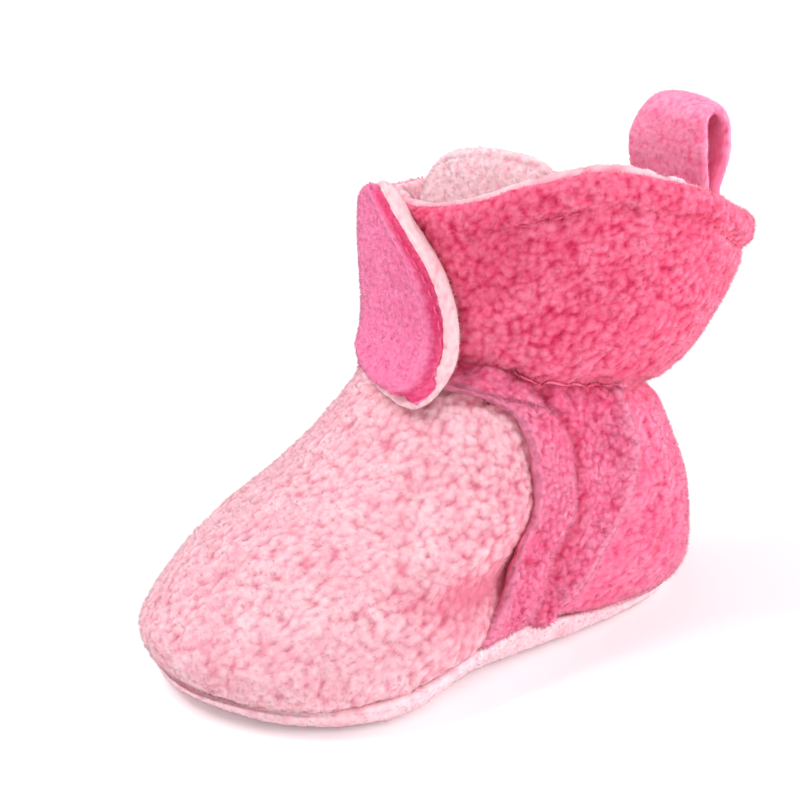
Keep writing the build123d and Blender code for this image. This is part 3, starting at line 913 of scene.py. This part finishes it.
# ---- closure tab
def tab_place(points, out):
    """u and h of points seen from the front (x, z) that stand out from the skin."""
    x, z = points.T
    h = z.copy()
    for _ in range(40):
        tilt, y1, r1, y2, _ = level(h)
        angle = np.arcsin(np.clip(x / (r1 + out), -0.97, 0.97))
        y = y1 - (r1 + out) * np.cos(angle)
        h = 0.5 * h + 0.5 * (z + (y - (y1 + y2) / 2) * np.sin(tilt))
    return r1 * angle / girth(h), h


TAB_OUT = 2.9
TAB_UP, TAB_ACROSS = 38, 54
TAPE_X, TAPE_Z, TAPE_WIDTH, TAPE_HEIGHT = -1.5, 67.5, 12, 17


def spread(path, fractions):
    """Points of a (u, h) line at fractions of its length."""
    path = line(np.array(path) * [AROUND, 1], 300)
    along = way_along(path)
    return points_at(path, along, fractions * along[-1])


def tab_grid(step, border=0.0, low_border=0.0, top_border=0.0):
    """u and h over the tab, set in from its free edge, low edge and top edge."""
    rows, cols = spaced(TAB_UP, step, 1.0), spaced(TAB_ACROSS, step, 1.0)
    right = spread(TAB_EDGE, rows)
    way = unit(np.gradient(right, axis=0))
    taper = border * (0.35 + 0.65 * ease(rows, 0.02, 0.2)) * (1 - 0.3 * ease(rows, 0.55, 0.95))
    right = right + np.stack([-way[:, 1], way[:, 0]], axis=1) * taper[:, None]
    bottom, ceiling = spread(TAB_LOW, cols), spread(TAB_TOP, cols)
    bottom = bottom + (right[0] - bottom[-1]) * cols[:, None] ** 3 + [0, low_border]
    ceiling = ceiling + (right[-1] - ceiling[-1]) * cols[:, None] ** 3 - [0, top_border]
    climb = rows[:, None]
    right = right + (bottom[-1] - right[0]) * (1 - climb) + (ceiling[-1] - right[-1]) * climb
    left = bottom[0] + (ceiling[0] - bottom[0]) * climb
    s, t = cols[None, :, None], rows[:, None, None]
    # The patch whose four edges are these lines.
    patch = (
        (1 - t) * bottom[None] + t * ceiling[None] + (1 - s) * left[:, None] + s * right[:, None]
        - (1 - s) * (1 - t) * bottom[0] - s * (1 - t) * bottom[-1]
        - (1 - s) * t * ceiling[0] - s * t * ceiling[-1]
    )
    return patch[..., 0] / AROUND, patch[..., 1]


def tab_skin(u, h):
    """The skin under the tab, which bridges the pinch at the ankle in one smooth curve."""
    low, high, reach = 43.5, 60.0, 0.5
    t = np.clip((h - low) / (high - low), 0, 1)[..., None]
    base, normal = skin(u, h)
    ends = []
    for end in (low, high):
        spot, facing = skin(u, np.full(h.shape, end))
        rise = skin_point(u, np.full(h.shape, end + reach)) - skin_point(u, np.full(h.shape, end - reach))
        ends.append((spot, rise / (2 * reach) * (high - low), facing))
    (start, leaving, start_facing), (end, arriving, end_facing) = ends
    curve = hermite(t, start, leaving, end, arriving)
    facing = unit(start_facing * (1 - t) + end_facing * t)
    bridged = ((h > low) & (h < high))[..., None]
    return np.where(bridged, curve, base), np.where(bridged, facing, normal)


def edge_distance(points):
    """Distance of each point of a grid from its last column, along the rows."""
    along = way_along(points, 1)
    return along[:, -1:] - along


def tab_root(u):
    """0 where the tab springs from the collar, 1 where it lies over the front."""
    return ease(u, TAB_START_U, TAB_START_U + 0.105)


def tab_lining(step):
    """The lining's outer face, its thickness, doubled where it turns over the free edge, and its normals."""
    u, h = tab_grid(step)
    points, normal = tab_skin(u, h)
    edge = edge_distance(points)
    rolled = (1 - ease(edge, TAB_BINDING, TAB_BINDING + 1.5)) * (0.15 + 0.85 * ease(h, 43.5, 49))
    out = -2.4 + (TAB_OUT + 2.3) * tab_root(u) + 1.6 * rolled
    return points + normal * out[..., None], TAB_LINING + 1.4 * rolled, normal


def tab_shell(step):
    """The brushed outer face, with its ridge of topstitching, and each point's distance from the edge."""
    u, h = tab_grid(step, TAB_BINDING, 0.2, 0.3)
    points, normal = tab_skin(u, h)
    edge = edge_distance(points)
    out = -0.9 + (TAB_OUT + 2.9) * tab_root(u)
    out = out + 0.5 * bell(edge - 3.2, 1.0) - 0.7 * bell(edge - 1.0, 1.3)
    out = out + 0.5 * drift(points, 14.0, 23)[..., 0] * tab_root(u)
    return points + normal * out[..., None], edge


def tab_patch(out, step):
    """A rounded rectangle of hook or loop tape under the tab, standing out from the skin."""
    across, up = spaced(TAPE_WIDTH, step, 0.6), spaced(TAPE_HEIGHT, step, 0.6)
    a, b = np.meshgrid(across * 2 - 1, up * 2 - 1)
    corner = 1 - 0.11 * np.clip(a ** 6 * b ** 6, 0, 1)
    x, z = TAPE_X + a * corner * TAPE_WIDTH / 2, TAPE_Z + b * corner * TAPE_HEIGHT / 2
    points, normal = tab_skin(*tab_place(np.stack([x, z], axis=-1).reshape(-1, 2), out))
    return (points + normal * out).reshape(*a.shape, 3)


# ---- tongue and heel loop
TONGUE_LOW = 50.5
TONGUE_HALF = [(TONGUE_LOW, 7), (60, 8.2), (70, 13), (80, 17.0), (93, 17.3)]
# The top edge's height across the tongue, from -1 to 1.
TONGUE_TOP = [(-1, 81.5), (-0.88, 85.6), (-0.5, 90.0), (0, 92.2), (0.5, 92.8), (0.85, 91.6), (1, 88.5)]
TONGUE_FACES = {
    "front": [(TONGUE_LOW, -3.8), (60, -1.8), (70, 0.7), (80, 4.1), (93, 7.1)],
    "seam": [(TONGUE_LOW, -2.4), (60, 0.9), (70, 4.3), (80, 7.4), (93, 8.5)],
    "back": [(TONGUE_LOW, -1), (60, 3.7), (70, 7.9), (80, 10.7), (93, 9.9)],
}
TONGUE_ACROSS, TONGUE_UP = 34, 40


def tongue_face(face, step, inset=0.0, deeper=0.0):
    """The front or back face of the tongue, crowned between its edges, with a ridge along its seam."""
    front = face == "front"
    a = (spaced(TONGUE_ACROSS, step, 1.0) * 2 - 1)[None, :]
    t = spaced(TONGUE_UP, step, 1.0)[:, None]
    z = TONGUE_LOW + inset + t * (at(TONGUE_TOP, a) - inset * 2 - TONGUE_LOW)
    x = a * (at(TONGUE_HALF, TONGUE_LOW + t * TONGUE_UP) - inset)
    seam = at(TONGUE_FACES["seam"], z)
    flat = np.stack([x + 0 * z, seam, z], axis=-1)
    y = seam + (at(TONGUE_FACES[face], z) - seam - deeper) * edge_profile(flat, 7.0) + 0.006 * x ** 2
    y = y + (0.35 if front else -0.35) * bell(edge_profile(flat, 2.2) - 0.93, 0.05)
    points = np.stack([x + 0 * z, y, z], axis=-1)
    return points if front else points[:, ::-1]


LOOP_PIVOT = np.array([0.0, 60.5, 77.7])
LOOP_LEAN = radians(8)
LOOP_RADIUS, LOOP_BEND = 3.6, 10.9   # the bend at the loop's top and its centre's height
LOOP_LEG = [(-1.2, -4.5), (-1.6, -1), (-2.7, 3), (-3.5, 8)]
LOOP_WIDTH = 19.5


def loop_strap(step):
    """The heel loop's strap: up its front leg, over the top and down its back leg."""
    bend = [
        (LOOP_RADIUS * sin(a), LOOP_BEND + LOOP_RADIUS * cos(a)) for a in np.linspace(-pi / 2, pi / 2, 14)
    ]
    path = line(LOOP_LEG + bend + [(-y, z) for y, z in reversed(LOOP_LEG)], 300)
    along = way_along(path)
    route = points_at(path, along, spaced(along[-1], step, 0.8) * along[-1])
    way = unit(np.gradient(route, axis=0))
    outward = np.stack([-way[:, 1], way[:, 0]], axis=1)
    s = spaced(LOOP_WIDTH, step, 0.8)[None, :] * 2 - 1
    height = ease(route[:, 1], 3, 15)[:, None]
    left, right = -10.6 + 3.2 * height ** 2, 9.75 - 0.9 * height ** 2
    x = (left + right) / 2 + s * (right - left) / 2
    sag = 0.5 * (1 - s ** 2) - 0.9 * height * s ** 4
    spot = route[:, None] + outward[:, None] * (1.1 + sag)[..., None]
    c, k = cos(LOOP_LEAN), sin(LOOP_LEAN)
    y, z = spot[..., 0] * c + spot[..., 1] * k, -spot[..., 0] * k + spot[..., 1] * c
    return LOOP_PIVOT + np.stack([x + 0 * y, y, z], axis=-1)


# ---- making the pieces
def finish_piece(piece, body, slot, *nodes):
    """Says what a piece rides on and the nodes it takes the place of; its slot argument is not used."""
    if isinstance(body, str):
        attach(piece, body)
    else:
        body(piece)
    if nodes:
        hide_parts(*nodes)
    return piece


def fold_at_root(piece):
    """Fabric of the tab, which folds at its root: its transform is baked into its mesh, and it rides on no
    body.
    """
    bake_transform(piece)


# Each sheet's flat size in metres, how it is held, its area where that isn't the rectangle's,
# and its pile: how many fibres, their length and width in millimetres, and their seed.
CLOTH = {
    "sole_fleece_shell": ((0.133, 0.062), "laid", 0.0053, (30000, 0.4, 0.08, 41)),
    "footbed_fleece": ((0.122, 0.056), "laid", 0.0046, (12000, 0.9, 0.14, 44)),
    "vamp_fleece": ((0.110, 0.085), "stretched", 0.0066, (49000, 0.7, 0.11, 51)),
    "lateral_quarter_fleece": ((0.055, 0.045), "stretched", 0.0015, (34000, 0.8, 0.1, 53)),
    "medial_quarter_fleece": ((0.055, 0.045), "stretched", 0.0015, (34000, 0.8, 0.1, 53)),
    "heel_fleece": ((0.105, 0.062), "stretched", 0.0044, (42000, 0.8, 0.11, 55)),
    "vamp_inner_fleece": ((0.100, 0.075), "stretched", 0.0045, None),
    "quarter_inner_fleece": ((0.150, 0.047), "stretched", 0.0045, None),
    "cuff_fleece": ((0.205, 0.045), "gathered", 0.0079, (49000, 0.85, 0.11, 61)),
    "cuff_inner_fleece": ((0.195, 0.048), "gathered", 0.0068, (34000, 0.8, 0.12, 63)),
    "tab_binding_fleece": ((0.050, 0.040), "folded", 0.0015, (16000, 0.6, 0.1, 71)),
    "tab_fleece": ((0.048, 0.038), "folded", 0.0014, (24000, 0.55, 0.09, 73)),
    "tongue_front_fleece": ((0.036, 0.044), "stretched", 0.0012, (12000, 0.65, 0.11, 81)),
    "tongue_back_fleece": ((0.036, 0.044), "stretched", 0.0012, (9000, 0.65, 0.11, 83)),
    "pull_loop": ((0.045, 0.0195), "folded", None, (18000, 0.42, 0.1, 91)),
}
PILED_ON_BOTH_FACES = ("tab_binding_fleece", "pull_loop")


def fabric_piece(name, fabric, material, slot, node, body="bootie"):
    """A fabric's object, with its pile of fibres as a second object that goes with it."""
    piece = build(name, fabric.points, fabric.quads, fabric.nap, material)
    finish_piece(piece, body, slot, node)
    fibres = CLOTH[name][3] if name in CLOTH else None
    if fibres is None:
        return piece, []
    count, length, width, seed = fibres
    count = count
    whole = name in PILED_ON_BOTH_FACES
    fibres = pile(name + "_pile", fabric, count, length, width, material, seed, whole)
    finish_piece(fibres, body, slot)
    return piece, [fibres]


def cloth(*piece, **body):
    """A piece of fabric, made as a soft sheet with its pile."""
    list(fabric_piece(*piece, **body))


STITCH_SIDES, STITCH_RINGS = 6, 5


def stitches(name, path, normal, size, material, sunk, node, body="bootie"):
    """Separate stitches of thread along a path, each a short bowed tube sunk into the cloth.

    Size is the pitch from one stitch to the next, and a stitch's length and width.
    """
    pitch, length, width = size
    along = way_along(path)
    angle = np.linspace(0, 2 * pi, STITCH_SIDES, endpoint=False)[:, None]
    share = np.linspace(-1, 1, STITCH_RINGS)
    bow = np.cos(share * pi / 2)[:, None]
    thick = width / 2 * np.where(np.abs(share) == 1, 0.45, 1)[:, None, None]
    points, quads = [], []
    for k, middle in enumerate(np.arange(pitch / 2, along[-1], pitch)):
        where = middle + length * share / 2
        out = points_at(normal, along, where)
        centre = points_at(path, along, where) + out * (bow * width * 0.5 - sunk)
        side = np.cross(unit(np.gradient(centre, axis=0)), out)
        ring = side[:, None] * np.cos(angle) + out[:, None] * np.sin(angle)
        points.append((centre[:, None] + thick * ring).reshape(-1, 3))
        first = k * STITCH_RINGS * STITCH_SIDES + np.arange(STITCH_SIDES)
        last = first + (STITCH_RINGS - 1) * STITCH_SIDES
        quads.append(grid_quads(STITCH_RINGS, STITCH_SIDES, first[0], closed=True))
        quads += [end[[[0, 1, 2, 3], [0, 3, 4, 5]]] for end in (first[::-1], last)]
    points = np.concatenate(points)
    piece = build(name, points, np.concatenate(quads), np.full(len(points), 0.5), material)
    finish_piece(piece, body, "thread", node)


# Sole
SOLE_ROUND, SOLE_HALF_WIDTH = 290, 26
count = int(SOLE_ROUND / STEP / 2) * 2   # an even number
sole = outsole(count, int(SOLE_HALF_WIDTH / STEP)).brush(1.3, 0.45, 41, wander=0.15)
cloth("sole_fleece_shell", sole, SOLE, "sole_fleece", "outsole")
foam = flat_body(220, WALL + 0.6, *FOAM, 14).brush(1.4, 0.1, 43, wander=0.05)
fabric_piece("foam_insole", foam, FOAM_WHITE, "foam", "insole_foam")[0]
footbed = flat_body(300, WALL + 0.2, FOAM[1] + 0.3, FOOTBED_TOP, 30).brush(1.0, 0.4, 44, wander=0.2)
cloth("footbed_fleece", footbed, LIGHT, "light_fleece", "footbed_lining")

# Lower upper
outer, sunk = vamp(LIGHT_STEP)
fabric = Fabric(outer, SHELL).brush(1.6, 0.9, 51, wander=0.3, fine=0.2)
# Painted shade in the vamp's toe fold and beside the quarters.
fabric.paint_light_and_shade(-0.8 * sunk)
cloth("vamp_fleece", fabric, LIGHT, "light_fleece", "vamp_shell")
for node, side in (("lateral_quarter", 1), ("medial_quarter", -1)):
    outer, shade = quarter(side, STEP)
    if side < 0:
        outer, shade = outer[:, ::-1], shade[:, ::-1]
    fabric = Fabric(outer, SHELL, 1.3).brush(1.35, 0.7, 53, wander=0.3, fine=0.2)
    # Painted highlight and shade on the quarter's colour.
    fabric.paint_light_and_shade(shade)
    cloth(f"{node}_fleece", fabric, QUARTER_PINK_PAINTED_LIGHTER, "hot_pink_fleece", node)
fabric = Fabric(heel(STEP), SHELL).brush(1.35, 0.65, 53, wander=0.25, fine=0.2)
cloth("heel_fleece", fabric, HEEL_PINK_PAINTED_LIGHTER, "hot_pink_fleece", "heel_panel")
for name, node, u_low, u_high in (
    ("vamp_inner_fleece", "vamp_lining", -0.2, 0.2), ("quarter_inner_fleece", "quarter_lining", 0.202, 0.798),
):
    fabric = Fabric(inner_wall(u_low, u_high, 0.9), INNER_FLEECE).brush(1.2, 0.4, 57, wander=0.2)
    cloth(name, fabric, LIGHT, "light_fleece", node)

# Collar
ELASTIC_LOW, ELASTIC_HIGH = 49.4, 54.2
RIB_DEPTH, RIB_PITCH = 0.12, 900
outer, thick = cuff_shell(STEP)
fabric = Fabric(outer, thick[..., None], 2.2).brush(1.4, 0.7, 53, wander=0.3, fine=0.2)
cloth("cuff_fleece", fabric, HOT, "hot_pink_fleece", "cuff_shell")
fabric = Fabric(cuff_lining(0.62), 1.9, 1.2).brush(1.5, 0.7, 63, wander=0.3)
cloth("cuff_inner_fleece", fabric, LIGHT, "light_fleece", "cuff_lining")
u = np.linspace(0.2, 0.8, 240)[None, :]
points, normal = skin(u, np.linspace(ELASTIC_LOW, ELASTIC_HIGH, 12)[:, None])
depth = SHELL + 0.75 + RIB_DEPTH * np.sin(u * RIB_PITCH)
band = Fabric(points - normal * depth[..., None], 0.6, 0.3).brush(0.6, 0.04, 65, 0.0)
fabric_piece("elastic_band", band, ELASTIC, "elastic", "ankle_elastic")

# Closure tab
outer, thick, facing = tab_lining(0.55)
fabric = Fabric(outer, thick[..., None], 1.5, facing=facing).brush(1.1, 0.35, 71, wander=0.15)
cloth("tab_binding_fleece", fabric, BINDING, "light_fleece", "closure_tab_lining", body=fold_at_root)
outer, edge = tab_shell(0.5)
fabric = Fabric(outer, TAB_SHELL + 0.3, 1.1).brush(0.95, 0.28, 73, wander=0.2, fine=0.4)
fabric.nap = fabric.nap * 0.75 + 0.2
# Painted shade: a darker strip along the free edge, where the shell slopes away.
fabric.paint_light_and_shade(-0.5 * (1 - ease(edge, 1.6, 3.0)))
cloth("tab_fleece", fabric, BRUSHED, "brushed_fleece", "closure_tab_shell", body=fold_at_root)
hook = Fabric(tab_patch(0.6, 0.4)[:, ::-1], 0.5, 0.25).brush(0.55, 0.3, 75, 0.0)
fabric_piece("hook_tape", hook, HOOKS, "hook_tape", "hook_patch", body="closure_tab")
loops = Fabric(tab_patch(0.45, 0.4), 0.8, 0.4).brush(0.5, 0.25, 77, 0.0)
fabric_piece("loop_tape", loops, LOOPS, "loop_tape", "loop_patch")

# Tongue
front = Fabric(tongue_face("front", 0.5), 1.2).brush(1.5, 0.5, 81, wander=0.25)
front = fabric_piece("tongue_front_fleece", front, TONGUE_PAINTED_LIGHTER, "light_fleece", "tongue_shell", body="tongue")
behind = Fabric(tongue_face("back", 0.6), 1.2).brush(1.5, 0.5, 83, wander=0.25)
behind = fabric_piece("tongue_back_fleece", behind, TONGUE_PAINTED_LIGHTER, "light_fleece", "tongue_lining", body="tongue")
pad = Fabric(tongue_face("front", 1.4, 2.5, -1.7), 1.8, 0.9).brush(2.0, 0.2, 85, 0.1)
fabric_piece("tongue_wadding", pad, WADDING, "wadding", "tongue_padding", body="tongue")[0]

# Heel loop
strap = Fabric(loop_strap(0.45), 2.3, 1.15).brush(1.1, 0.35, 91, wander=0.2, fine=0.3)
cloth("pull_loop", strap, LOOP_PAINTED_LIGHTER, "brushed_fleece", "heel_loop", body="heel_loop")

# Stitching
u = np.linspace(0, 1, 400)
path, normal = skin(u, seam_level(u), -0.9)
stitches("sole_stitches", path, normal, (3.4, 2.4, 0.5), THREAD_LIGHT, 0.5, "sole_seam_stitching")
u = np.linspace(SLIT_U + 0.11, 1 + SLIT_U - 0.09, 400)
path, normal = skin(u, rim_level(u) - 6.9, -0.7)
stitches("rim_stitches", path, normal, (3.2, 2.2, 0.45), THREAD, 0.3, "rim_stitching")
u, h = tab_grid(0.9, TAB_BINDING + 1.0, 1.4, 1.2)
points, normal = tab_skin(u[6:-2, -1], h[6:-2, -1])
path = points + normal * (TAB_OUT + 1.85)
stitches("tab_stitches", path, normal, (3.0, 2.0, 0.4), THREAD, 0.15, "tab_stitching", body="closure_tab")

for node in ("forefoot_grip_dots", "heel_grip_dots"):
    for material_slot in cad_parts[node].material_slots:
        material_slot.material = DOTS

# ---- floor, light and camera
FLOOR_REACH = 3.0
floor_material, shader = node_material("pale_floor")
feed(shader, Base_Color=(0.93, 0.93, 0.93, 1), Roughness=0.8)
feed(shader, Emission_Color=(1, 1, 1, 1), Emission_Strength=0.12)
floor_mesh = bpy.data.meshes.new("floor")
corners = [(x * FLOOR_REACH, y * FLOOR_REACH, 0) for x, y in ((-1, -1), (1, -1), (1, 1), (-1, 1))]
floor_mesh.from_pydata(corners, [], [(0, 1, 2, 3)])
floor_mesh.materials.append(floor_material)
new_object("floor", floor_mesh)

world = bpy.data.worlds.new("studio")
world.use_nodes = True
feed(world.node_tree.nodes["Background"], Color=(1, 1, 1, 1), Strength=0.69)
bpy.context.scene.world = world
bpy.context.scene.view_settings.view_transform = "Standard"


LIT = Vector((0, 0, 0.045))


def softbox(name, place, size, power):
    """A round soft light at a place, turned towards the bootie."""
    lamp = bpy.data.lights.new(name, "AREA")
    lamp.shape, lamp.size, lamp.energy = "DISK", size, power
    light = new_object(name, lamp)
    light.location = place
    light.rotation_euler = (LIT - place).to_track_quat("-Z", "Y").to_euler()


AZIMUTH, ELEVATION, DISTANCE = radians(47), radians(19), 0.62
TARGET = Vector((0, -0.0035, 0.045))
back = Vector((sin(AZIMUTH) * cos(ELEVATION), -cos(AZIMUTH) * cos(ELEVATION), sin(ELEVATION)))
right = Vector((cos(AZIMUTH), sin(AZIMUTH), 0))
up = back.cross(right)
softbox("key", TARGET + (-right * 0.5 + up * 0.75 + back * 0.3), 0.5, 6.0)
softbox("fill", TARGET + (right * 0.7 + up * 0.14 + back * 0.32), 0.5, 2.5)
softbox("rim", TARGET + (right * 0.75 + up * 0.35 - back * 0.25), 0.4, 3.4)

camera_data = bpy.data.cameras.new("camera")
camera_data.lens, camera_data.sensor_width = 148.5, 36.0
camera_data.shift_x, camera_data.shift_y = -0.05, 0.003
camera_data.clip_start = 0.05
camera = new_object("camera", camera_data)
axes = Matrix((right, up, back)).transposed().to_4x4()
camera.matrix_world = Matrix.Translation(TARGET + back * DISTANCE) @ axes
bpy.context.scene.camera = camera
